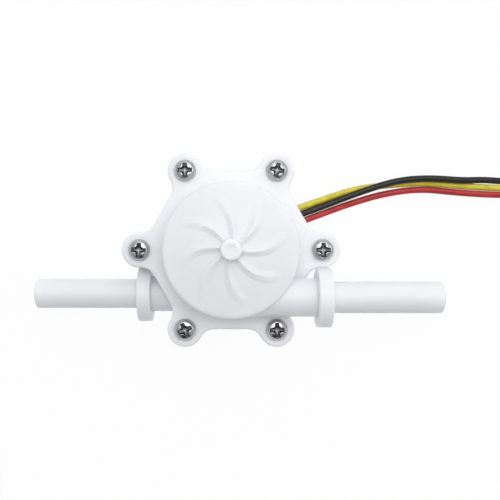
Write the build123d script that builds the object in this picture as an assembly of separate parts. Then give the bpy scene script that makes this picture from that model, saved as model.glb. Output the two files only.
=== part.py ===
from build123d import *
import os
from math import cos, pi, radians, sin, sqrt, tan

# Flow sensor with a bladed rotor in a round chamber, in millimetres.
# It lies on its back: Z runs along the rotor axis, X along the two hose stems.
# The origin is the rotor axis in the plane of the back face.

# Hose stems, their stop rings and the necks that carry them
overall_length = 84.6
stem_diameter = 6.35
stem_bore = 4.5
stem_tip_round = 0.6
ring_diameter = 12.0
ring_thickness = 2.9
ring_round = 0.3
ring_reach = 17.1
neck_diameter = 7.7
neck_root = 2.0
port_offset = 9.5
inlet_height = 7.6
outlet_drop = 3.2
nozzle_diameter = 2.4
nozzle_length = 3.0

# Chamber and the two halves of the case
chamber_radius = 11.7
chamber_height = 18.0
chamber_floor = 5.2
ceiling_round = 1.5
ceiling_rise = 1.5
case_wall = 2.1
dome_wall = 2.2
dome_taper = 0.4
case_foot_round = 0.8
parting_height = 13.5
rear_plate = 2.9
cover_plate = 2.8
plate_round = 0.45

# Lobed joint between the halves
screw_circle = 18.9
screw_count = 6
lobe_radius = 3.65
lobe_blend = 3.2
screw_diameter = 2.4
screw_hole_gap = 0.15
thread_gap = 0.02
screw_length = 7.4
screw_head_diameter = 4.5
screw_head_height = 1.5
screw_head_round = 0.8
screw_recess = 1.0
screw_slot_length = 3.0
screw_slot_width = 0.8
screw_boss_radius = 3.0
screw_boss_wall = 1.2
screw_end_gap = 0.3

# Seal ring in the rear half
groove_radius = 13.3
groove_width = 1.6
groove_depth = 1.2
seal_side_gap = 0.05
seal_flat_share = 0.55

# Crown of the cover, its hub and the eight curved ribs
roof_thickness = 1.2
crown_rise = 2.6
crown_power = 1.2
hub_dip = 0.6
hub_dip_radius = 8.0
shoulder_round = 0.9
hub_radius = 2.1
hub_rise = 4.8
hub_round = 0.5
dimple_radius = 1.0
dimple_depth = 0.2
rib_count = 8
rib_reach = 10.9
rib_start = 1.7
rib_lead = -9.0
rib_sweep = 27.0
rib_height = 0.36
rib_hub_height = 1.2
rib_width = 3.2
rib_hub_width = 1.7
rib_fade = 0.93
rib_root = 0.5
rib_sink = 0.03
rib_stations = 7

# Shaft, washers and bushes
shaft_diameter = 2.0
shaft_seat_depth = 3.2
shaft_end_gap = 0.3
seat_radius = 2.2
seat_step = 0.6
washer_radius = 2.0
washer_thickness = 0.4
running_gap = 0.03
end_play = 0.1
pillar_root_radius = 2.9
bush_radius = 1.8
bush_length = 2.5
bush_relief = 0.3

# Rotor
hub_length = 11.1
rotor_hub_radius = 2.8
web_radius = 8.4
web_thickness = 3.5
blade_count = 8
blade_tip_gap = 1.3
blade_height = 10.0
blade_thickness = 1.0
blade_lag = 16.0
blade_bow = 0.9
magnet_count = 4
magnet_circle = 5.9
magnet_diameter = 3.0
magnet_length = 2.0
cap_thickness = 0.5
cap_inner_radius = 3.5
cap_outer_radius = 8.0

# Sensor bay in the back face, turned towards the lead outlet
bay_heading = 20.5
bay_offset = 2.04
bay_start = 1.6
bay_length = 9.4
bay_width = 8.0
bay_depth = 4.0
bay_round = 1.8
fill_recess = 0.2
outlet_width = 4.9
outlet_depth = 3.4
outlet_overrun = 1.0
board_gap = 0.5
board_height = 1.0
board_thickness = 0.8
sensor_length = 3.0
sensor_width = 4.0
sensor_thickness = 1.5
sensor_lift = 0.6
leg_pitch = 1.27
leg_size = 0.4
leg_reach = 0.85
chip_length = 1.6
chip_width = 0.8
chip_height = 0.5
chip_side = 2.85
solder_foot_radius = 0.72
solder_tip_radius = 0.36
solder_height = 0.6
pad_setback = 0.84
conductor_radius = 0.3
conductor_length = 1.4

# Three leads, coil and connector
lead_diameter = 1.5
lead_pitch = 1.6
lead_height = 2.55
strip_back = 0.9
straight_run = 5.2
bend_share = 0.45
coil_base = 0.4
coil_top_gap = 0.05
coil_centre = (75.65, 2.75)
coil_radius = 13.1
coil_eye_centre = (73.3, 0.4)
coil_eye_radius = 6.0
coil_entry_x = 66.0
coil_entry_y = 14.15
coil_strand_pitch = 1.55
tie_thickness = 0.4
tie_width = 2.5
tie_bearing = 225.0
tie_lock = 2.2
connector_width = 9.8
connector_length = 8.9
connector_height = 5.75
connector_x = 81.16
connector_back_y = -11.6
tail_first_y = -3.6
tail_second_y = -8.0
connector_chamfer = 0.4
connector_groove = 0.8
connector_groove_end = 2.0
cavity_pitch = 2.5
cavity_size = 1.9
contact_setback = 2.0
contact_length = 5.6
contact_size = 1.7
contact_wall = 0.3

# Heights and radii that follow from the sizes above
ceiling_height = chamber_floor + chamber_height
ceiling_top = ceiling_height + ceiling_rise
outlet_height = ceiling_height - outlet_drop
plate_top = parting_height + cover_plate
case_radius = chamber_radius + case_wall
dome_radius = chamber_radius + dome_wall
dome_top_radius = dome_radius - dome_taper
stem_end = overall_length / 2
rotor_base = chamber_floor + seat_step + washer_thickness + end_play
rotor_top = rotor_base + hub_length
pillar_tip = rotor_top + end_play + washer_thickness
blade_radius = chamber_radius - blade_tip_gap
lead_radius = lead_diameter / 2
board_top = board_height + board_thickness
sensor_along = sqrt(magnet_circle**2 - bay_offset**2)
tail_height = coil_base + lead_diameter + lead_radius + coil_top_gap


def upright(radius, low, high, x=0.0, y=0.0):
    return Pos(x, y, (low + high) / 2) * Cylinder(radius, high - low)


def level(radius, x_from, x_to, y, z):
    middle = (x_from + x_to) / 2
    return Pos(middle, y, z) * Rot(0, 90, 0) * Cylinder(radius, abs(x_to - x_from))


def block(x_from, x_to, y_from, y_to, low, high):
    middle = Pos((x_from + x_to) / 2, (y_from + y_to) / 2, (low + high) / 2)
    return middle * Box(x_to - x_from, y_to - y_from, high - low)


def washer(outer, inner, low, high):
    return upright(outer, low, high) - upright(inner, low, high)


def screw_places():
    return [Rot(0, 0, 360 * turn / screw_count) * Pos(screw_circle, 0, 0) for turn in range(screw_count)]


def lobed_plate(low, high):
    # Straight sides run from screw to screw, with a lobe round each and a blend in each hollow
    outline = RegularPolygon(screw_circle, screw_count)
    for place in screw_places():
        outline += place * Circle(lobe_radius)
    hollows = [corner for corner in outline.vertices() if corner.center().length < screw_circle]
    outline = fillet(hollows, lobe_blend)
    return Pos(0, 0, low) * extrude(outline, high - low)


def port(side, height):
    # Neck, stop ring and stem on one side of the case, where side is -1 or 1
    ring_from = side * ring_reach
    ring_to = side * (ring_reach + ring_thickness)
    neck = level(neck_diameter / 2, side * neck_root, ring_from, -port_offset, height)
    ring = level(ring_diameter / 2, ring_from, ring_to, -port_offset, height)
    ring = fillet(ring.edges().filter_by(GeomType.CIRCLE), ring_round)
    stem = level(stem_diameter / 2, ring_to, side * stem_end, -port_offset, height)
    tip = stem.faces().sort_by(Axis.X)[0 if side < 0 else -1]
    stem = fillet(tip.edges(), stem_tip_round)
    return neck + ring + stem


def crown_height(radius):
    # Height of the crown between the ribs: a shallow cone that dips towards its hub
    rise = crown_rise * (1 - (radius / dome_top_radius) ** crown_power)
    dip = hub_dip * max(0.0, 1 - radius / hub_dip_radius) ** 2
    return ceiling_height + roof_thickness + rise - dip


def dome():
    samples = 8
    radii = [dome_top_radius * (samples - step) / samples for step in range(samples)]
    crown = Spline([(radius, crown_height(radius)) for radius in radii] + [(0, crown_height(0))])
    edge = (dome_top_radius, crown_height(dome_top_radius))
    sides = Polyline((0, crown_height(0)), (0, parting_height), (dome_radius, parting_height), edge)
    body = revolve(Plane.XZ * make_face([crown, sides]), Axis.Z)
    rim = body.edges().filter_by(GeomType.CIRCLE).sort_by(Axis.Z)[-1]
    return fillet(rim, shoulder_round)


def rib_point(share):
    # The middle line of a rib, from the hub at 0 to its faded end at 1
    radius = rib_start + (rib_reach - rib_start) * share
    bearing = radians(rib_lead + rib_sweep * (radius / rib_reach) ** 2)
    return Vector(radius * cos(bearing), radius * sin(bearing), crown_height(radius))


def crown_normal(point):
    radius = Vector(point.X, point.Y).length
    step = 0.01
    slope = (crown_height(radius + step) - crown_height(radius - step)) / (2 * step)
    return Vector(-slope * point.X / radius, -slope * point.Y / radius, 1).normalized()


def rib():
    # A bell-shaped ridge lofted along a curve: tall and narrow at the hub, then broad, low and fading
    sections = []
    step = 0.01
    for station in range(rib_stations):
        share = station / (rib_stations - 1)
        along = (rib_point(share + step) - rib_point(share - step)).normalized()
        across = crown_normal(rib_point(share)).cross(along)
        place = Plane(rib_point(share), x_dir=across, z_dir=along)
        half = (rib_hub_width + (rib_width - rib_hub_width) * sqrt(share)) / 2
        height = rib_height + (rib_hub_height - rib_height) * (1 - share) ** 2
        height *= 1 - rib_fade * share**4
        ridge = Spline((half, -rib_sink), (0, height), (-half, -rib_sink), tangents=[(-1, 0), (-1, 0)])
        skirt = Polyline((-half, -rib_sink), (-half, -rib_root), (half, -rib_root), (half, -rib_sink))
        sections.append(place * make_face([ridge, skirt]))
    return loft(sections)


def crown_hub():
    hub_top = ceiling_height + hub_rise
    hub = upright(hub_radius, ceiling_top, hub_top)
    rim = hub.edges().filter_by(GeomType.CIRCLE).sort_by(Axis.Z)[-1]
    return fillet(rim, hub_round)


def upper_chamber():
    # The space above the parting plane, with a rounded rim and a ceiling that rises to the pillar
    space = upright(chamber_radius, parting_height, ceiling_height)
    rim = space.edges().filter_by(GeomType.CIRCLE).sort_by(Axis.Z)[-1]
    space = fillet(rim, ceiling_round)
    slope = Cone(chamber_radius - ceiling_round, pillar_root_radius, ceiling_rise)
    return space + Pos(0, 0, ceiling_height + ceiling_rise / 2) * slope


def pillar():
    # Tapered post under the cover's ceiling that holds the upper end of the shaft
    post = Cone(seat_radius, pillar_root_radius, ceiling_top - pillar_tip)
    foot = upright(pillar_root_radius, ceiling_top, ceiling_top + roof_thickness / 2)
    return Pos(0, 0, (pillar_tip + ceiling_top) / 2) * post + foot


def front_cover():
    body = lobed_plate(parting_height, plate_top)
    body = fillet(body.faces().sort_by(Axis.Z)[-1].edges(), plate_round)
    body = body + dome() + port(1, outlet_height)
    body -= upper_chamber()
    single_rib = rib()
    for turn in range(rib_count):
        body += Rot(0, 0, 360 * turn / rib_count) * single_rib
    body = body + crown_hub() + pillar()
    hub_top = ceiling_height + hub_rise
    body -= upright(dimple_radius, hub_top - dimple_depth, hub_top)
    body -= upright(shaft_diameter / 2, pillar_tip, pillar_tip + shaft_seat_depth)
    body -= level(stem_bore / 2, 0, stem_end, -port_offset, outlet_height)
    for place in screw_places():
        body -= place * upright(screw_diameter / 2 + screw_hole_gap, parting_height, plate_top)
    return body


def bay_frame():
    return Rot(0, 0, bay_heading) * Pos(0, bay_offset, 0)


def bay_space():
    # Pocket for the circuit board and the slot that the three leads leave by
    pocket = block(bay_start, bay_start + bay_length, -bay_width / 2, bay_width / 2, 0, bay_depth)
    pocket = fillet(pocket.edges().filter_by(Axis.Z), bay_round)
    slot_from = bay_start + bay_length - bay_round
    slot_to = case_radius + outlet_overrun
    slot = block(slot_from, slot_to, -outlet_width / 2, outlet_width / 2, 0, outlet_depth)
    return bay_frame() * (pocket + slot)


def screw_boss():
    tip = plate_top - screw_length - screw_end_gap
    return upright(screw_boss_radius, tip - screw_boss_wall, parting_height - rear_plate)


def rear_housing():
    body = lobed_plate(parting_height - rear_plate, parting_height)
    body = fillet(body.faces().sort_by(Axis.Z)[0].edges(), plate_round)
    drum = upright(case_radius, 0, parting_height)
    drum = fillet(drum.faces().sort_by(Axis.Z)[0].edges(), case_foot_round)
    body = body + drum + port(-1, inlet_height)
    for place in screw_places():
        body += place * screw_boss()
    body -= upright(chamber_radius, chamber_floor, parting_height)
    body += upright(seat_radius, chamber_floor, chamber_floor + seat_step)
    seat_top = chamber_floor + seat_step
    body -= upright(shaft_diameter / 2, seat_top - shaft_seat_depth, seat_top)
    jet_x = sqrt(chamber_radius**2 - (port_offset - nozzle_diameter / 2) ** 2)
    body -= level(nozzle_diameter / 2, -stem_end, 0, -port_offset, inlet_height)
    body -= level(stem_bore / 2, -stem_end, -(jet_x + nozzle_length), -port_offset, inlet_height)
    groove = washer(
        groove_radius + groove_width / 2,
        groove_radius - groove_width / 2,
        parting_height - groove_depth,
        parting_height,
    )
    body -= groove
    tip = plate_top - screw_length - screw_end_gap
    for place in screw_places():
        body -= place * upright(screw_diameter / 2 + thread_gap, tip, parting_height)
    return body - bay_space()


def seal_ring():
    # Round cord squeezed flat between the halves, with bulged sides
    half = groove_width / 2 - seal_side_gap
    low = parting_height - groove_depth
    flat = half * seal_flat_share
    middle = parting_height - groove_depth / 2
    bottom = Line((groove_radius - flat, low), (groove_radius + flat, low))
    outside = ThreePointArc(
        (groove_radius + flat, low), (groove_radius + half, middle), (groove_radius + flat, parting_height)
    )
    top = Line((groove_radius + flat, parting_height), (groove_radius - flat, parting_height))
    inside = ThreePointArc(
        (groove_radius - flat, parting_height), (groove_radius - half, middle), (groove_radius - flat, low)
    )
    return revolve(Plane.XZ * make_face([bottom, outside, top, inside]), Axis.Z)


def cover_screw():
    # Pan head with a cross recess on a plain shank
    head_radius = screw_head_diameter / 2
    head = upright(head_radius, 0, screw_head_height)
    head = fillet(head.edges().filter_by(GeomType.CIRCLE).sort_by(Axis.Z)[-1], screw_head_round)
    slot = Pos(0, 0, screw_head_height) * Box(screw_slot_length, screw_slot_width, 2 * screw_recess)
    head = head - slot - Rot(0, 0, 90) * slot
    screw = head + upright(screw_diameter / 2, -screw_length, 0)
    return Pos(0, 0, plate_top) * screw


def cover_screws():
    return [place * cover_screw() for place in screw_places()]


def blade():
    # One curved paddle whose hollow side faces the jet
    lag = radians(-blade_lag)
    root = Vector(rotor_hub_radius - blade_thickness / 2, 0)
    tip = Vector(blade_radius * cos(lag), blade_radius * sin(lag))
    side = (tip - root).normalized()
    middle = (root + tip) * 0.5 + Vector(-side.Y, side.X) * blade_bow
    line = ThreePointArc(root, middle, tip)
    paddle = extrude(trace(line, blade_thickness), blade_height)
    return Pos(0, 0, rotor_base) * (paddle & Cylinder(blade_radius, 3 * blade_height))


def magnet_places():
    return [Rot(0, 0, 360 * turn / magnet_count) * Pos(magnet_circle, 0, 0) for turn in range(magnet_count)]


def rotor_wheel():
    wheel = upright(rotor_hub_radius, rotor_base, rotor_top)
    wheel += upright(web_radius, rotor_base, rotor_base + web_thickness)
    paddle = blade()
    for turn in range(blade_count):
        wheel += Rot(0, 0, 360 * turn / blade_count) * paddle
    wheel -= upright(bush_radius, rotor_base, rotor_base + bush_length)
    wheel -= upright(bush_radius, rotor_top - bush_length, rotor_top)
    wheel -= upright(shaft_diameter / 2 + bush_relief, rotor_base, rotor_top)
    wheel -= washer(cap_outer_radius, cap_inner_radius, rotor_base, rotor_base + cap_thickness)
    pocket_from = rotor_base + cap_thickness
    for place in magnet_places():
        wheel -= place * upright(magnet_diameter / 2, pocket_from, pocket_from + magnet_length)
    return wheel


def rotor_magnets():
    low = rotor_base + cap_thickness
    return [place * upright(magnet_diameter / 2, low, low + magnet_length) for place in magnet_places()]


def magnet_cap():
    return washer(cap_outer_radius, cap_inner_radius, rotor_base, rotor_base + cap_thickness)


def rotor_bushes():
    inner = shaft_diameter / 2 + running_gap
    lower = washer(bush_radius, inner, rotor_base, rotor_base + bush_length)
    upper = washer(bush_radius, inner, rotor_top - bush_length, rotor_top)
    return [lower, upper]


def rotor_shaft():
    low = chamber_floor + seat_step - shaft_seat_depth + shaft_end_gap
    high = pillar_tip + shaft_seat_depth - shaft_end_gap
    return upright(shaft_diameter / 2, low, high)


def thrust_washers():
    inner = shaft_diameter / 2 + running_gap
    low = chamber_floor + seat_step
    lower = washer(washer_radius, inner, low, low + washer_thickness)
    upper = washer(washer_radius, inner, pillar_tip - washer_thickness, pillar_tip)
    return [lower, upper]


def circuit_board():
    start = bay_start + board_gap
    end = bay_start + bay_length - board_gap
    half = bay_width / 2 - board_gap
    board = block(start, end, -half, half, board_height, board_top)
    board = chamfer(board.edges().filter_by(Axis.Z), bay_round / 2)
    return bay_frame() * board


def sensor_floor():
    return board_top + sensor_lift


def hall_sensor():
    low = sensor_floor()
    body = block(
        sensor_along - sensor_length / 2,
        sensor_along + sensor_length / 2,
        -sensor_width / 2,
        sensor_width / 2,
        low,
        low + sensor_thickness,
    )
    top = body.faces().sort_by(Axis.Z)[-1]
    return bay_frame() * chamfer(top.edges().filter_by(Axis.X), sensor_thickness / 3)


def leg_foot():
    return sensor_along - sensor_length / 2 - leg_reach


def sensor_legs():
    legs = []
    level_low = sensor_floor() + leg_size / 2
    level_high = level_low + leg_size
    outer = leg_foot() - leg_size / 2
    for place in (-1, 0, 1):
        side = place * leg_pitch
        near = side - leg_size / 2
        far = side + leg_size / 2
        reach = block(outer, sensor_along - sensor_length / 2, near, far, level_low, level_high)
        drop = block(outer, outer + leg_size, near, far, board_top, level_high)
        legs.append(bay_frame() * (reach + drop))
    return legs


def chip(side):
    along = sensor_along
    body = block(
        along - chip_length / 2,
        along + chip_length / 2,
        side - chip_width / 2,
        side + chip_width / 2,
        board_top,
        board_top + chip_height,
    )
    return bay_frame() * body


def lead_start():
    # Distance along the bay at which the lead's insulation begins
    return bay_start + bay_length - strip_back


def lead_conductors():
    stubs = []
    end = lead_start()
    for place in (-1, 0, 1):
        stub = level(conductor_radius, end - conductor_length, end, place * lead_pitch, lead_height)
        stubs.append(bay_frame() * stub)
    return stubs


def solder_cone(along, side, height):
    return Pos(along, side, board_top + height / 2) * Cone(solder_foot_radius, solder_tip_radius, height)


def solder_joints():
    joints = []
    legs = sensor_legs()
    stubs = lead_conductors()
    pad_along = lead_start() - pad_setback
    stub_cover = lead_height - board_top + 2 * conductor_radius
    for index, place in enumerate((-1, 0, 1)):
        leg_joint = bay_frame() * solder_cone(leg_foot(), place * leg_pitch, solder_height)
        joints.append(leg_joint - legs[index])
        lead_joint = bay_frame() * solder_cone(pad_along, place * lead_pitch, stub_cover)
        joints.append(lead_joint - stubs[index])
    return joints


def potting_compound():
    # Resin that fills the bay round the board, poured almost level with the back face
    fill = bay_space() & upright(case_radius - fill_recess, fill_recess, bay_depth)
    fill = fill - circuit_board() - hall_sensor() - chip(chip_side) - chip(-chip_side)
    for piece in sensor_legs() + lead_conductors() + solder_joints():
        fill -= piece
    for route in (yellow_route(), black_route(), red_route()):
        fill -= lead_tube(route[:3])
    return fill


def bay_point(along, side, height):
    heading = radians(bay_heading)
    across = bay_offset + side
    x = along * cos(heading) - across * sin(heading)
    y = along * sin(heading) + across * cos(heading)
    return (x, y, height)


def route_radii(points):
    # Each bend is as large as its two runs allow
    radii = []
    for before, corner, after in zip(points, points[1:], points[2:]):
        arriving = Vector(corner) - Vector(before)
        leaving = Vector(after) - Vector(corner)
        half_turn = radians(arriving.get_angle(leaving)) / 2
        radii.append(bend_share * min(arriving.length, leaving.length) / tan(half_turn))
    return radii


def lead_tube(points):
    if len(points) == 2:
        path = Line(points)
    else:
        path = FilletPolyline(points, radius=route_radii(points))
    start = Plane(path @ 0, z_dir=path % 0)
    return sweep(start * Circle(lead_radius), path)


def coil_height():
    return coil_base + lead_radius


def lead_first_points(side):
    return [
        bay_point(lead_start(), side, lead_height),
        bay_point(lead_start() + straight_run, side, lead_height),
    ]


def yellow_route():
    # Starts nearest the screw above, slips under the black lead and lies between the other two
    return lead_first_points(lead_pitch) + [
        (20.6, 11.38, 1.8),
        (28.6, 14.05, 0.78),
        (36.2, 14.9, 0.77),
        (43.8, 15.45, 0.77),
        (51.6, 14.7, 0.78),
        (59.2, coil_entry_y, coil_height()),
        (coil_entry_x, coil_entry_y, coil_height()),
    ]


def black_route():
    # Crosses over the yellow lead and then leans against it
    return lead_first_points(0) + [
        (21.5, 10.22, 2.47),
        (30.5, 13.6, 2.38),
        (38.0, 15.85, 2.3),
        (45.2, 16.35, 2.1),
        (52.6, 15.75, 2.1),
        (57.5, 16.0, 1.5),
        (61.5, coil_entry_y + coil_strand_pitch, coil_height()),
        (coil_entry_x, coil_entry_y + coil_strand_pitch, coil_height()),
    ]


def red_route():
    return lead_first_points(-lead_pitch) + [
        (20.4, 8.05, 1.75),
        (27.6, 10.75, 0.78),
        (35.0, 12.9, 0.77),
        (43.2, 14.02, 0.77),
        (51.4, 13.15, 0.78),
        (59.0, coil_entry_y - coil_strand_pitch, coil_height()),
        (coil_entry_x, coil_entry_y - coil_strand_pitch, coil_height()),
    ]


def tail_route(place):
    # From the inner turn of the coil, over its outer turn and into the connector
    far_x = connector_x + place * cavity_pitch
    end_y = connector_back_y - contact_setback
    near_x = connector_x + place * coil_strand_pitch
    if place == 0:
        return [(near_x, 0.0, tail_height), (far_x, end_y, tail_height)]
    return [
        (near_x, 0.0, tail_height),
        (near_x, tail_first_y, tail_height),
        (far_x, tail_second_y, tail_height),
        (far_x, end_y, tail_height),
    ]


def lead_coil():
    # Outer shape of one and a quarter flat turns of the three leads, with a straight entry
    high = coil_base + lead_diameter
    disc = upright(coil_radius, coil_base, high, coil_centre[0], coil_centre[1])
    half_entry = coil_strand_pitch + lead_radius
    entry = block(
        coil_entry_x,
        coil_centre[0],
        coil_entry_y - half_entry,
        coil_entry_y + half_entry,
        coil_base,
        high,
    )
    eye = upright(coil_eye_radius, coil_base, high, coil_eye_centre[0], coil_eye_centre[1])
    return disc + entry - eye


def coil_tie():
    # Narrow band wrapped round the leads, with its lock on the outside of the coil
    bearing = radians(tie_bearing)
    outward = Vector(cos(bearing), sin(bearing))
    outer = Vector(*coil_centre) + outward * coil_radius
    inner = Vector(*coil_eye_centre) + outward * coil_eye_radius
    middle = (outer + inner) * 0.5
    span = (outer - inner).length + 2 * tie_thickness
    top = coil_base + lead_diameter + tie_thickness
    band = Pos(0, 0, top / 2) * Box(span, tie_width, top)
    lock = Pos(span / 2 + tie_lock / 4, 0, top / 2) * Box(tie_lock, tie_width, top)
    return Pos(middle.X, middle.Y, 0) * Rot(0, 0, tie_bearing) * (band + lock) - lead_coil()


def connector_housing():
    front_y = connector_back_y - connector_length
    half = connector_width / 2
    body = block(connector_x - half, connector_x + half, front_y, connector_back_y, 0, connector_height)
    body = chamfer(body.edges().filter_by(Axis.Y), connector_chamfer)
    groove_y = connector_back_y - connector_groove_end
    groove_low = connector_height - connector_groove
    for place in (-1, 1):
        near = connector_x + (place * cavity_pitch - connector_groove) / 2
        body -= block(near, near + connector_groove, front_y, groove_y, groove_low, connector_height)
    for place in (-1, 0, 1):
        middle = connector_x + place * cavity_pitch
        near = middle - cavity_size / 2
        far = middle + cavity_size / 2
        low = tail_height - cavity_size / 2
        body -= block(near, far, front_y, connector_back_y, low, low + cavity_size)
    return body


def connector_contacts():
    contacts = []
    back_y = connector_back_y - contact_setback
    for place in (-1, 0, 1):
        middle = connector_x + place * cavity_pitch
        half = contact_size / 2
        low = tail_height - half
        high = tail_height + half
        sleeve = block(middle - half, middle + half, back_y - contact_length, back_y, low, high)
        inner = half - contact_wall
        sleeve -= block(
            middle - inner,
            middle + inner,
            back_y - contact_length,
            back_y - contact_wall,
            tail_height - inner,
            tail_height + inner,
        )
        contacts.append(sleeve)
    return contacts


def save(name, shape):
    solids = shape if isinstance(shape, list) else [shape]
    solids = [solid for piece in solids for solid in piece.solids()]
    export_step(solids[0] if len(solids) == 1 else Compound(children=solids), f"parts/{name}.step")


def save_lead(name, points):
    tube = lead_tube(points)
    radii = route_radii(points)
    length = tube.volume / (pi * lead_radius**2)
    path = Line(points) if len(points) == 2 else FilletPolyline(points, radius=radii)
    bends = ", ".join(f"{radius:.1f}" for radius in radii)
    print(f"{name}: length {path.length:.2f}, by volume {length:.2f}, bend radii {bends}")
    save(name, tube)


def main():
    os.makedirs("parts", exist_ok=True)
    save("rear_housing", rear_housing())
    save("front_cover", front_cover())
    save("seal_ring", seal_ring())
    save("cover_screws", cover_screws())
    save("rotor_wheel", rotor_wheel())
    save("rotor_magnets", rotor_magnets())
    save("magnet_cap", magnet_cap())
    save("rotor_bushes", rotor_bushes())
    save("rotor_shaft", rotor_shaft())
    save("thrust_washers", thrust_washers())
    save("circuit_board", circuit_board())
    save("hall_sensor", hall_sensor())
    save("sensor_legs", sensor_legs())
    save("chip_capacitor", chip(chip_side))
    save("chip_resistor", chip(-chip_side))
    save("lead_conductors", lead_conductors())
    save("solder_joints", solder_joints())
    save("potting_compound", potting_compound())
    save_lead("lead_yellow", yellow_route())
    save_lead("lead_black", black_route())
    save_lead("lead_red", red_route())
    save_lead("tail_yellow", tail_route(0))
    save_lead("tail_black", tail_route(1))
    save_lead("tail_red", tail_route(-1))
    save("lead_coil", lead_coil())
    save("coil_tie", coil_tie())
    save("connector_housing", connector_housing())
    save("connector_contacts", connector_contacts())


main()
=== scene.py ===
import math

import bmesh
import bpy
from mathutils import Matrix, Vector


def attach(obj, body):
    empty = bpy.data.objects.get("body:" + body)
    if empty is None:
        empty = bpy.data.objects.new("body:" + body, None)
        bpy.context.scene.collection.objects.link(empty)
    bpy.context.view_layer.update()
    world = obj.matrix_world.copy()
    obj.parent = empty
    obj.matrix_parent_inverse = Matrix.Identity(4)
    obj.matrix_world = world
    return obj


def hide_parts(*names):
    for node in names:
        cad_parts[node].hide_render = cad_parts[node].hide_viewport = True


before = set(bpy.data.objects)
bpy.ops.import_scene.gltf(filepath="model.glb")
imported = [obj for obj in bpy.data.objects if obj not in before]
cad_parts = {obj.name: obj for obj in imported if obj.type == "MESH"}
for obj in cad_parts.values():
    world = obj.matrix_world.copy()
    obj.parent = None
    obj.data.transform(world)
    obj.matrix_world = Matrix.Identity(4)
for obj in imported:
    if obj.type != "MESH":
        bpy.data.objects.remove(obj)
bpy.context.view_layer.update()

mm = 0.001


# Camera: it looks straight down on the cover, and its shift puts the rotor axis left of the middle

cameraSet = {
    "height": 156.5 * mm,
    "lens": 49.0,
    "sensor": 36.0,
    "axisPixel": 231.0,
    "imageWidth": 500.0,
    "clip": (0.01, 10.0),
}


def makeCamera(values):
    data = bpy.data.cameras.new("camera")
    data.sensor_width = values["sensor"]
    data.lens = values["lens"]
    data.shift_x = 0.5 - values["axisPixel"] / values["imageWidth"]
    data.clip_start, data.clip_end = values["clip"]
    camera = bpy.data.objects.new("camera", data)
    camera.location = (0, 0, values["height"])
    bpy.context.scene.collection.objects.link(camera)
    bpy.context.scene.camera = camera


makeCamera(cameraSet)
print("camera set")


# Leads: the routes of the solids in metres, with third points up to 0.07 mm beside theirs, then the coil

leadShape = {"diameter": 1.5 * mm, "pitch": 1.55 * mm, "sideSteps": 6, "lengthSteps": 6, "order": 3}
coilSet = {
    "centre": (0.0745, 0.00155),
    "radius": 0.0126,
    "perTurn": 0.00475,
    "turns": 1.25,
    "pointsPerTurn": 20,
    "height": 0.00115,
    "riseFrom": 1.08,
    "tailHeight": 0.0027,
}
connectorSet = {"x": 0.08116, "pitch": 0.0025, "fanStart": -0.0036, "fanEnd": -0.008, "end": -0.0136}
leadSets = {
    "yellow": {
        "name": "leadYellowWire",
        "standsFor": ["lead_yellow", "tail_yellow"],
        "length": 0.158,
        "place": 0,  # in the row of three, counted outwards from the middle one
        "route": [
            (0.008177, 0.006947, 0.00255),
            (0.013048, 0.008768, 0.00255),
            (0.0206, 0.01137, 0.0018),
            (0.0286, 0.01405, 0.00078),
            (0.0362, 0.0149, 0.00077),
            (0.0438, 0.01545, 0.00077),
            (0.0516, 0.0147, 0.00078),
            (0.0592, 0.01415, 0.00115),
            (0.066, 0.01415, 0.00115),
        ],
    },
    "black": {
        "name": "leadBlackWire",
        "standsFor": ["lead_black", "tail_black", "lead_coil"],
        "length": 0.170,
        "place": 1,
        "route": [
            (0.008737, 0.005448, 0.00255),
            (0.013608, 0.007269, 0.00255),
            (0.0215, 0.01015, 0.00247),
            (0.0305, 0.0136, 0.00238),
            (0.038, 0.01585, 0.0023),
            (0.0452, 0.01635, 0.0021),
            (0.0526, 0.01575, 0.0021),
            (0.0575, 0.016, 0.0015),
            (0.0615, 0.0157, 0.00115),
            (0.066, 0.0157, 0.00115),
        ],
    },
    "red": {
        "name": "leadRedWire",
        "standsFor": ["lead_red", "tail_red"],
        "length": 0.145,
        "place": -1,
        "route": [
            (0.009297, 0.003949, 0.00255),
            (0.014168, 0.00577, 0.00255),
            (0.0204, 0.00812, 0.00175),
            (0.0276, 0.01075, 0.00078),
            (0.035, 0.0129, 0.00077),
            (0.0432, 0.01402, 0.00077),
            (0.0514, 0.01315, 0.00078),
            (0.059, 0.0126, 0.00115),
            (0.066, 0.0126, 0.00115),
        ],
    },
}


def coilPoints(place, values):
    # Flat turns that close inwards; the last part climbs over the turn outside it
    points = []
    steps = int(values["turns"] * values["pointsPerTurn"])
    for step in range(steps + 1):
        turn = step / values["pointsPerTurn"]
        radius = values["radius"] + place * leadShape["pitch"] - values["perTurn"] * turn
        climb = max(0.0, (turn - values["riseFrom"]) / (values["turns"] - values["riseFrom"]))
        height = values["height"] + (values["tailHeight"] - values["height"]) * climb
        angle = 2 * math.pi * turn
        x = values["centre"][0] + radius * math.sin(angle)
        points.append((x, values["centre"][1] + radius * math.cos(angle), height))
    return points


def tailPoints(place, values):
    # From the inner turn the three leads fan out to the pitch of the contacts
    near = values["x"] + place * leadShape["pitch"]
    far = values["x"] + place * values["pitch"]
    flat = [(near, values["fanStart"]), (far, values["fanEnd"]), (far, values["end"])]
    return [(x, y, coilSet["tailHeight"]) for x, y in flat]


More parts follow.
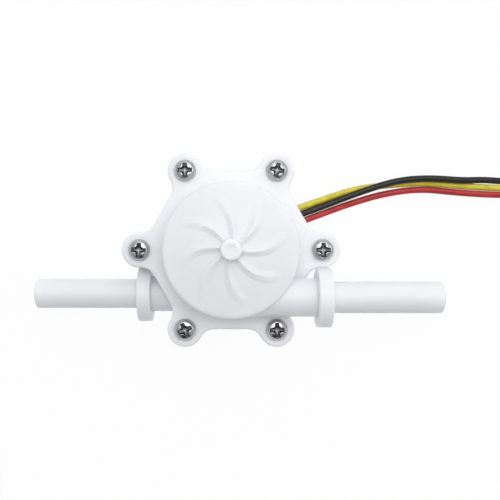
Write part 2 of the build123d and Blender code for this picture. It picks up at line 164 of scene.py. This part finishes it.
def makeLead(values):
    place = values["place"]
    points = values["route"] + coilPoints(place, coilSet) + tailPoints(place, connectorSet)
    curve = bpy.data.curves.new(values["name"], "CURVE")
    curve.dimensions = "3D"
    curve.bevel_depth = 1.0  # times each point's radius, by which Blender also widens the curve's box
    curve.bevel_resolution = leadShape["sideSteps"]
    curve.resolution_u = leadShape["lengthSteps"]
    curve.use_fill_caps = True
    spline = curve.splines.new("NURBS")
    spline.points.add(len(points) - 1)
    for point, spot in zip(spline.points, points):
        point.co = (*spot, 1)
        point.radius = leadShape["diameter"] / 2
    spline.order_u = leadShape["order"]
    spline.use_endpoint_u = True
    lead = bpy.data.objects.new(values["name"], curve)
    bpy.context.scene.collection.objects.link(lead)
    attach(lead, "housing")
    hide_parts(*values["standsFor"])
    return lead


leads = {colour: makeLead(values) for colour, values in leadSets.items()}
print("leads laid")


# Shader helpers, and the effects that several materials share

grainSet = {
    "fine": {"Detail": 3.0, "Roughness": 0.6},
    "broad": {"Detail": 2.0, "Roughness": 0.5},
    "cloudRange": {"From_Min": 0.35, "From_Max": 0.65},
}
ringSet = {"Detail": 2.0, "Roughness": 0.7}


def addNode(tree, kind, **values):
    node = tree.nodes.new(kind)
    for key, value in values.items():
        setattr(node, key, value)
    return node


def setInputs(node, **values):
    for key, value in values.items():
        node.inputs[key.replace("_", " ")].default_value = value
    return node


def makeGrainGroup(values):
    # Fine moulded grain and broad cloudiness, both from Object coordinates
    group = bpy.data.node_groups.new("mouldedGrain", "ShaderNodeTree")
    group.interface.new_socket("Grain Scale", in_out="INPUT", socket_type="NodeSocketFloat")
    group.interface.new_socket("Cloud Scale", in_out="INPUT", socket_type="NodeSocketFloat")
    group.interface.new_socket("Grain", in_out="OUTPUT", socket_type="NodeSocketFloat")
    group.interface.new_socket("Cloud", in_out="OUTPUT", socket_type="NodeSocketFloat")
    inlet = addNode(group, "NodeGroupInput")
    outlet = addNode(group, "NodeGroupOutput")
    where = addNode(group, "ShaderNodeTexCoord")
    fine = setInputs(addNode(group, "ShaderNodeTexNoise"), **values["fine"])
    broad = setInputs(addNode(group, "ShaderNodeTexNoise"), **values["broad"])
    spread = setInputs(addNode(group, "ShaderNodeMapRange"), **values["cloudRange"])
    group.links.new(where.outputs["Object"], fine.inputs["Vector"])
    group.links.new(where.outputs["Object"], broad.inputs["Vector"])
    group.links.new(inlet.outputs["Grain Scale"], fine.inputs["Scale"])
    group.links.new(inlet.outputs["Cloud Scale"], broad.inputs["Scale"])
    group.links.new(broad.outputs["Fac"], spread.inputs["Value"])
    group.links.new(fine.outputs["Fac"], outlet.inputs["Grain"])
    group.links.new(spread.outputs["Result"], outlet.inputs["Cloud"])
    return group


def makeTurnedGroup(values):
    # Fine rings round each screw's own axis, as forming and plating leave them
    group = bpy.data.node_groups.new("turnedRings", "ShaderNodeTree")
    group.interface.new_socket("Ring Scale", in_out="INPUT", socket_type="NodeSocketFloat")
    group.interface.new_socket("Rings", in_out="OUTPUT", socket_type="NodeSocketFloat")
    inlet = addNode(group, "NodeGroupInput")
    outlet = addNode(group, "NodeGroupOutput")
    where = addNode(group, "ShaderNodeUVMap", uv_map="turned")
    wave = setInputs(addNode(group, "ShaderNodeTexNoise", noise_dimensions="2D"), **values)
    group.links.new(where.outputs["UV"], wave.inputs["Vector"])
    group.links.new(inlet.outputs["Ring Scale"], wave.inputs["Scale"])
    group.links.new(wave.outputs["Fac"], outlet.inputs["Rings"])
    return group


grainGroup = makeGrainGroup(grainSet)
turnedGroup = makeTurnedGroup(ringSet)


def makeFinish(name, values):
    # One finish: two close colours in clouds, a roughness range and a fine grain
    material = bpy.data.materials.new(name)
    material.use_nodes = True
    tree = material.node_tree
    shader = tree.nodes["Principled BSDF"]
    grain = addNode(tree, "ShaderNodeGroup", node_tree=grainGroup)
    setInputs(grain, Grain_Scale=values["grainScale"], Cloud_Scale=values["cloudScale"])
    colours = addNode(tree, "ShaderNodeMix", data_type="RGBA")
    colours.inputs["A"].default_value = (*values["colour"], 1)
    colours.inputs["B"].default_value = (*values["clouds"], 1)
    tree.links.new(grain.outputs["Cloud"], colours.inputs["Factor"])
    tree.links.new(colours.outputs["Result"], shader.inputs["Base Color"])
    gloss = addNode(tree, "ShaderNodeMapRange")
    setInputs(gloss, To_Min=values["roughness"][0], To_Max=values["roughness"][1])
    tree.links.new(grain.outputs["Grain"], gloss.inputs["Value"])
    tree.links.new(gloss.outputs["Result"], shader.inputs["Roughness"])
    bump = setInputs(addNode(tree, "ShaderNodeBump"), Strength=values["bump"], Distance=values["depth"])
    tree.links.new(grain.outputs["Grain"], bump.inputs["Height"])
    tree.links.new(bump.outputs["Normal"], shader.inputs["Normal"])
    for key, value in values.get("shader", {}).items():
        shader.inputs[key].default_value = value
    return material


mouldedSet = {
    "grainScale": 5200.0,
    "cloudScale": 90.0,
    "roughness": (0.34, 0.46),
    "bump": 0.25,
    "depth": 0.00003,
}
metalSet = {
    "grainScale": 9000.0,
    "cloudScale": 900.0,
    "roughness": (0.2, 0.34),
    "bump": 0.2,
    "depth": 0.00001,
    "shader": {"Metallic": 1.0},
}
insulationSet = {
    "grainScale": 2600.0,
    "cloudScale": 420.0,
    "roughness": (0.26, 0.42),
    "bump": 0.3,
    "depth": 0.00003,
    "shader": {"Specular IOR Level": 0.36},
}
caseGlow = {
    "IOR": 1.48,
    "Subsurface Weight": 0.7,
    "Subsurface Radius": (1.0, 0.95, 0.9),
    "Subsurface Scale": 0.0014,
}


def variantOf(base, colour, clouds, **others):
    return dict(base, colour=colour, clouds=clouds, **others)


finishSets = {
    "casePlastic": variantOf(mouldedSet, (0.852, 0.86, 0.888), (0.832, 0.84, 0.868), shader=caseGlow),
    "rotorPlastic": variantOf(mouldedSet, (0.86, 0.85, 0.8), (0.8, 0.79, 0.74)),
    "sealRubber": variantOf(mouldedSet, (0.02, 0.02, 0.02), (0.03, 0.03, 0.03), roughness=(0.55, 0.7)),
    "bearingPlastic": variantOf(mouldedSet, (0.32, 0.2, 0.1), (0.26, 0.16, 0.08)),
    "magnetFerrite": variantOf(mouldedSet, (0.05, 0.05, 0.055), (0.09, 0.09, 0.09), roughness=(0.45, 0.7)),
    "shaftSteel": variantOf(metalSet, (0.62, 0.62, 0.63), (0.55, 0.55, 0.56)),
    "boardGreen": variantOf(mouldedSet, (0.01, 0.13, 0.05), (0.015, 0.19, 0.07), roughness=(0.25, 0.4)),
    "packageBlack": variantOf(mouldedSet, (0.018, 0.018, 0.02), (0.03, 0.03, 0.032), roughness=(0.5, 0.65)),
    "chipTan": variantOf(mouldedSet, (0.42, 0.3, 0.17), (0.34, 0.23, 0.12)),
    "tinnedMetal": variantOf(metalSet, (0.72, 0.71, 0.68), (0.6, 0.59, 0.56)),
    "pottingResin": variantOf(mouldedSet, (0.02, 0.02, 0.022), (0.045, 0.045, 0.05), roughness=(0.12, 0.3)),
    "connectorNylon": variantOf(mouldedSet, (0.8, 0.78, 0.7), (0.72, 0.7, 0.61)),
    "tieNylon": variantOf(mouldedSet, (0.03, 0.03, 0.03), (0.045, 0.045, 0.045)),
    "yellow": variantOf(insulationSet, (0.74, 0.65, 0.06), (0.58, 0.5, 0.04)),
    "black": variantOf(insulationSet, (0.012, 0.012, 0.01), (0.02, 0.019, 0.016)),
    "red": variantOf(insulationSet, (0.5, 0.042, 0.04), (0.4, 0.03, 0.029)),
}
finishes = {name: makeFinish(name, values) for name, values in finishSets.items()}
for colour, lead in leads.items():
    lead.data.materials.append(finishes[colour])

nodeFinishes = {
    "rear_housing": "casePlastic",
    "front_cover": "casePlastic",
    "seal_ring": "sealRubber",
    "rotor_wheel": "rotorPlastic",
    "magnet_cap": "rotorPlastic",
    "rotor_bushes": "bearingPlastic",
    "thrust_washers": "bearingPlastic",
    "rotor_magnets": "magnetFerrite",
    "rotor_shaft": "shaftSteel",
    "circuit_board": "boardGreen",
    "hall_sensor": "packageBlack",
    "chip_resistor": "packageBlack",
    "chip_capacitor": "chipTan",
    "sensor_legs": "tinnedMetal",
    "lead_conductors": "tinnedMetal",
    "solder_joints": "tinnedMetal",
    "connector_contacts": "tinnedMetal",
    "potting_compound": "pottingResin",
    "connector_housing": "connectorNylon",
    "coil_tie": "tieNylon",
}
for node, finish in nodeFinishes.items():
    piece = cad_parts[node]
    piece.data.materials.clear()
    piece.data.materials.append(finishes[finish])
print("CAD pieces finished")


# Screws: pan heads with a cross recess, six of one shape in mm, each turned as it was driven home

screwSet = {
    "circle": 18.9,
    "top": 17.8,
    "turns": (0, -12, 1, -4, 22, 2),
    "domeRadius": 1.66,
    "domeDrop": 0.27,
    "domeRings": 4,
    "profile": [
        (1.8, -0.37),
        (1.95, -0.52),
        (2.08, -0.72),
        (2.18, -0.96),
        (2.24, -1.22),
        (2.25, -1.44),
        (2.21, -1.5),
        (1.2, -1.5),
        (1.2, -8.3),
        (0.8, -8.9),
    ],
    "armWidth": 0.9,
    "armReach": 1.5,
    "cornerRound": 0.62,
    "cornerSteps": 5,
    "tipRound": 0.16,
    "tipSteps": 3,
    "longSide": 0.3,  # a side of the cross longer than this gets more points
    "sideCuts": 3,
    "recess": [(0.96, -0.35), (0.88, -0.6), (0.34, -0.95), (0.24, -0.97)],
    "recessShadeFrom": -0.3,  # faces of the cross that reach deeper than this get a darker colour, which is painted shade in the recess
    "ringTurn": 0.1,  # how far the map of the rings moves for each radian round the axis
    "hair": 0.01,  # slack where points are told apart
    "edgeRound": 0.04,
    "edgeSteps": 2,
    "edgeAngle": 50,
}
platedSet = {"ringScale": 9.0, "ringRange": (0.3, 0.7), "depth": 0.00002}
platingSets = {
    "screwPlating": dict(platedSet, colour=(0.5, 0.5, 0.52), roughness=(0.1, 0.26), bump=0.6),
    # The recess colour is darker than the plating: painted shade that stands in for the recess's own shadow
    "screwRecessPaintedShade": dict(platedSet, colour=(0.19, 0.19, 0.2), roughness=(0.1, 0.28), bump=0.8),
}


def makePlating(name, values):
    material = bpy.data.materials.new(name)
    material.use_nodes = True
    tree = material.node_tree
    shader = tree.nodes["Principled BSDF"]
    setInputs(shader, Metallic=1.0, Base_Color=(*values["colour"], 1))
    rings = addNode(tree, "ShaderNodeGroup", node_tree=turnedGroup)
    setInputs(rings, Ring_Scale=values["ringScale"])
    gloss = addNode(tree, "ShaderNodeMapRange")
    setInputs(gloss, From_Min=values["ringRange"][0], From_Max=values["ringRange"][1])
    setInputs(gloss, To_Min=values["roughness"][0], To_Max=values["roughness"][1])
    tree.links.new(rings.outputs["Rings"], gloss.inputs["Value"])
    tree.links.new(gloss.outputs["Result"], shader.inputs["Roughness"])
    bump = setInputs(addNode(tree, "ShaderNodeBump"), Strength=values["bump"], Distance=values["depth"])
    tree.links.new(rings.outputs["Rings"], bump.inputs["Height"])
    tree.links.new(bump.outputs["Normal"], shader.inputs["Normal"])
    return material


def roundCorners(shape, corners, size, segments):
    bmesh.ops.bevel(
        shape, geom=corners, offset=size, affect="VERTICES", segments=segments, profile=0.5, material=-1
    )


def makeCross(shape, values):
    # A plus-shaped face: a grid of nine without its corners, then every corner rounded
    bmesh.ops.create_grid(shape, x_segments=3, y_segments=3, size=1)
    third = 1 / 3  # of the grid's half, where its inner lines lie
    middles = {face: face.calc_center_median() for face in shape.faces}
    corners = [face for face, middle in middles.items() if min(abs(middle.x), abs(middle.y)) > third]
    bmesh.ops.delete(shape, geom=corners, context="FACES")
    for vert in shape.verts:
        for axis in (0, 1):
            size = values["armReach"] if abs(vert.co[axis]) > 2 * third else values["armWidth"] / 2
            vert.co[axis] = math.copysign(size, vert.co[axis])
    bmesh.ops.dissolve_faces(shape, faces=shape.faces[:])
    nearTip = values["armReach"] - values["hair"]
    inner = [vert for vert in shape.verts if max(abs(vert.co.x), abs(vert.co.y)) < nearTip]
    roundCorners(shape, inner, values["cornerRound"], values["cornerSteps"])
    tips = [vert for vert in shape.verts if max(abs(vert.co.x), abs(vert.co.y)) > nearTip]
    roundCorners(shape, tips, values["tipRound"], values["tipSteps"])


def shiftVerts(shape, verts, scale, height):
    bmesh.ops.scale(shape, vec=(scale, scale, 1), verts=verts)
    for vert in verts:
        vert.co.z = height


def partsOf(made, kind):
    return [part for part in made if isinstance(part, kind)]


def spreadToCircle(shape, edges, radius, steps):
    # Rings that change from the cross outside the recess to a circle
    for step in range(steps):
        made = bmesh.ops.extrude_edge_only(shape, edges=edges)["geom"]
        edges = partsOf(made, bmesh.types.BMEdge)
        for vert in partsOf(made, bmesh.types.BMVert):
            flat = vert.co.xy
            vert.co.xy = flat.lerp(flat.normalized() * radius, 1 / (steps - step))
    return edges


def makeScrewMesh(values):
    shape = bmesh.new()
    makeCross(shape, values)
    longSides = [edge for edge in shape.edges if edge.calc_length() > values["longSide"]]
    bmesh.ops.subdivide_edges(shape, edges=longSides, cuts=values["sideCuts"])
    rim = shape.edges[:]
    floor = shape.faces[:][0]
    reach = 1
    for scale, height in values["recess"]:
        made = bmesh.ops.extrude_face_region(shape, geom=[floor])["geom"]
        shape.faces.remove(floor)
        floor = partsOf(made, bmesh.types.BMFace)[0]
        shiftVerts(shape, floor.verts[:], scale / reach, height)
        reach = scale
    radius = values["domeRadius"]
    edges = spreadToCircle(shape, rim, radius, values["domeRings"])
    for vert in shape.verts:
        if vert.co.z > -values["hair"]:
            vert.co.z = -values["domeDrop"] * (vert.co.xy.length / radius) ** 2
    for nextRadius, height in values["profile"]:
        made = bmesh.ops.extrude_edge_only(shape, edges=edges)["geom"]
        edges = partsOf(made, bmesh.types.BMEdge)
        shiftVerts(shape, partsOf(made, bmesh.types.BMVert), nextRadius / radius, height)
        radius = nextRadius
    bmesh.ops.contextual_create(shape, geom=edges)
    bmesh.ops.recalc_face_normals(shape, faces=shape.faces[:])
    # Faces deep in the cross take the second material, whose darker colour is painted shade in the recess
    for face in shape.faces:
        deep = min(vert.co.z for vert in face.verts) < values["recessShadeFrom"]
        face.material_index = 1 if deep and face.calc_center_median().xy.length < values["armReach"] else 0
    return shape


def mapRings(shape, values):
    # The map runs out from the axis and only a little round it, so the noise on it makes rings
    turned = shape.loops.layers.uv.new("turned")
    for face in shape.faces:
        face.smooth = True
        for loop in face.loops:
            flat = loop.vert.co.xy
            angle = abs(math.atan2(flat.y, flat.x)) if flat.length > values["hair"] else 0
            loop[turned].uv = (flat.length, angle * values["ringTurn"])


def makeScrews(values):
    one = makeScrewMesh(values)
    mapRings(one, values)
    single = bpy.data.meshes.new("oneScrew")
    one.to_mesh(single)
    one.free()
    total = bmesh.new()
    for index, turn in enumerate(values["turns"]):
        start = len(total.verts)
        total.from_mesh(single)
        total.verts.ensure_lookup_table()
        heading = math.radians(360 * index / len(values["turns"]))
        place = Vector((math.cos(heading), math.sin(heading), 0)) * values["circle"]
        place.z = values["top"]
        move = Matrix.Scale(mm, 4) @ Matrix.Translation(place) @ Matrix.Rotation(math.radians(turn), 4, "Z")
        bmesh.ops.transform(total, matrix=move, verts=total.verts[start:])
    mesh = bpy.data.meshes.new("coverScrewSet")
    total.to_mesh(mesh)
    total.free()
    screws = bpy.data.objects.new("coverScrewSet", mesh)
    bpy.context.scene.collection.objects.link(screws)
    for name, plating in platingSets.items():
        mesh.materials.append(makePlating(name, plating))
    edgeRound = screws.modifiers.new("edgeRound", "BEVEL")
    edgeRound.width = values["edgeRound"] * mm
    edgeRound.segments = values["edgeSteps"]
    edgeRound.limit_method = "ANGLE"
    edgeRound.angle_limit = math.radians(values["edgeAngle"])
    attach(screws, "housing")
    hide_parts("cover_screws")


makeScrews(screwSet)
print("screws in")


# Floor and lights

floorSet = {
    "side": 3.0,
    "drop": 0.0001,
    "colour": (0.88, 0.88, 0.88),
    "roughness": 0.9,
    "shine": 0.1,
    "paper": 0.94,  # share of plain white that the camera and reflections see; the rest takes the shadow
}
lampSets = {
    "softboxOverhead": {"place": (0.02, 0.11, 0.56), "size": (0.4, 0.34), "power": 1.15},
    "softboxKey": {"place": (0.06, 0.38, 0.36), "size": (0.4, 0.3), "power": 0.3},
    "softboxRight": {"place": (0.4, 0.1, 0.3), "size": (0.25, 0.3), "power": 0.25},
    "softboxUnder": {"place": (0.02, -0.05, -0.4), "size": (0.5, 0.5), "power": 1.0},
}
worldSet = {
    "near": 0.44,
    "far": 0.65,
    "range": (-0.85, 0.35),
    "dim": 0.02,
    "dimToward": (0, -0.66, 0.751),
    "dimEdge": (0.9, 0.945),
    "horizon": 0.0,
}


def makeFloor(values):
    # The paper shows white from above and still takes the part's shadow; from below it shows the back
    shape = bmesh.new()
    bmesh.ops.create_grid(shape, x_segments=1, y_segments=1, size=values["side"] / 2)
    bmesh.ops.translate(shape, vec=(0, 0, -values["drop"]), verts=shape.verts)
    mesh = bpy.data.meshes.new("floor")
    shape.to_mesh(mesh)
    shape.free()
    floor = bpy.data.objects.new("floor", mesh)
    bpy.context.scene.collection.objects.link(floor)
    material = bpy.data.materials.new("paleFloor")
    material.use_nodes = True
    tree = material.node_tree
    shader = tree.nodes["Principled BSDF"]
    setInputs(shader, Roughness=values["roughness"], Base_Color=(*values["colour"], 1))
    setInputs(shader, Specular_IOR_Level=values["shine"])
    white = setInputs(addNode(tree, "ShaderNodeEmission"), Strength=1.0)
    rays = addNode(tree, "ShaderNodeLightPath")
    seen = addNode(tree, "ShaderNodeMath", operation="MAXIMUM")
    mirrored = addNode(tree, "ShaderNodeMath", operation="MAXIMUM")
    share = addNode(tree, "ShaderNodeMath", operation="MULTIPLY")
    share.inputs[1].default_value = values["paper"]
    blend = addNode(tree, "ShaderNodeMixShader")
    tree.links.new(rays.outputs["Is Glossy Ray"], mirrored.inputs[0])
    tree.links.new(rays.outputs["Is Transmission Ray"], mirrored.inputs[1])
    tree.links.new(rays.outputs["Is Camera Ray"], seen.inputs[0])
    tree.links.new(mirrored.outputs[0], seen.inputs[1])
    tree.links.new(seen.outputs[0], share.inputs[0])
    tree.links.new(share.outputs[0], blend.inputs["Fac"])
    tree.links.new(shader.outputs["BSDF"], blend.inputs[1])
    tree.links.new(white.outputs["Emission"], blend.inputs[2])
    clear = addNode(tree, "ShaderNodeBsdfTransparent")
    side = addNode(tree, "ShaderNodeNewGeometry")
    passing = addNode(tree, "ShaderNodeMath", operation="MAXIMUM")
    surface = addNode(tree, "ShaderNodeMixShader")
    tree.links.new(side.outputs["Backfacing"], passing.inputs[0])
    tree.links.new(rays.outputs["Is Shadow Ray"], passing.inputs[1])
    tree.links.new(passing.outputs[0], surface.inputs["Fac"])
    tree.links.new(blend.outputs["Shader"], surface.inputs[1])
    tree.links.new(clear.outputs["BSDF"], surface.inputs[2])
    tree.links.new(surface.outputs["Shader"], tree.nodes["Material Output"].inputs["Surface"])
    mesh.materials.append(material)


def makeLamp(name, values):
    data = bpy.data.lights.new(name, "AREA")
    data.shape = "RECTANGLE"
    data.size, data.size_y = values["size"]
    data.energy = values["power"]
    lamp = bpy.data.objects.new(name, data)
    place = Vector(values["place"])
    lamp.location = place
    lamp.rotation_euler = (-place).to_track_quat("-Z", "Y").to_euler()
    bpy.context.scene.collection.objects.link(lamp)


def makeWorld(values):
    # A white room, darker towards the stems' side, dim in one patch there and black below the horizon;
    # the camera sees it plain white
    world = bpy.data.worlds.new("studio")
    world.use_nodes = True
    tree = world.node_tree
    background = setInputs(tree.nodes["Background"], Color=(1, 1, 1, 1))
    where = addNode(tree, "ShaderNodeTexCoord")
    split = addNode(tree, "ShaderNodeSeparateXYZ")
    level = addNode(tree, "ShaderNodeMapRange", interpolation_type="SMOOTHSTEP")
    setInputs(level, From_Min=values["range"][0], From_Max=values["range"][1])
    setInputs(level, To_Min=values["near"], To_Max=values["far"])
    toward = addNode(tree, "ShaderNodeVectorMath", operation="DOT_PRODUCT")
    toward.inputs[1].default_value = values["dimToward"]
    dim = addNode(tree, "ShaderNodeMapRange", interpolation_type="SMOOTHSTEP")
    setInputs(dim, From_Min=values["dimEdge"][0], From_Max=values["dimEdge"][1])
    setInputs(dim, To_Min=1.0, To_Max=values["dim"])
    lit = addNode(tree, "ShaderNodeMath", operation="MULTIPLY")
    above = addNode(tree, "ShaderNodeMath", operation="GREATER_THAN")
    upper = addNode(tree, "ShaderNodeMath", operation="MULTIPLY")
    rays = addNode(tree, "ShaderNodeLightPath")
    shown = addNode(tree, "ShaderNodeMath", operation="MAXIMUM")
    tree.links.new(where.outputs["Generated"], split.inputs["Vector"])
    tree.links.new(split.outputs["Y"], level.inputs["Value"])
    tree.links.new(where.outputs["Generated"], toward.inputs[0])
    tree.links.new(toward.outputs["Value"], dim.inputs["Value"])
    tree.links.new(level.outputs["Result"], lit.inputs[0])
    tree.links.new(dim.outputs["Result"], lit.inputs[1])
    above.inputs[1].default_value = values["horizon"]
    tree.links.new(split.outputs["Z"], above.inputs[0])
    tree.links.new(lit.outputs[0], upper.inputs[0])
    tree.links.new(above.outputs[0], upper.inputs[1])
    tree.links.new(upper.outputs[0], shown.inputs[0])
    tree.links.new(rays.outputs["Is Camera Ray"], shown.inputs[1])
    tree.links.new(shown.outputs[0], background.inputs["Strength"])
    bpy.context.scene.world = world


makeFloor(floorSet)
for name, values in lampSets.items():
    makeLamp(name, values)
makeWorld(worldSet)
bpy.context.scene.view_settings.view_transform = "Standard"
print("stage lit")
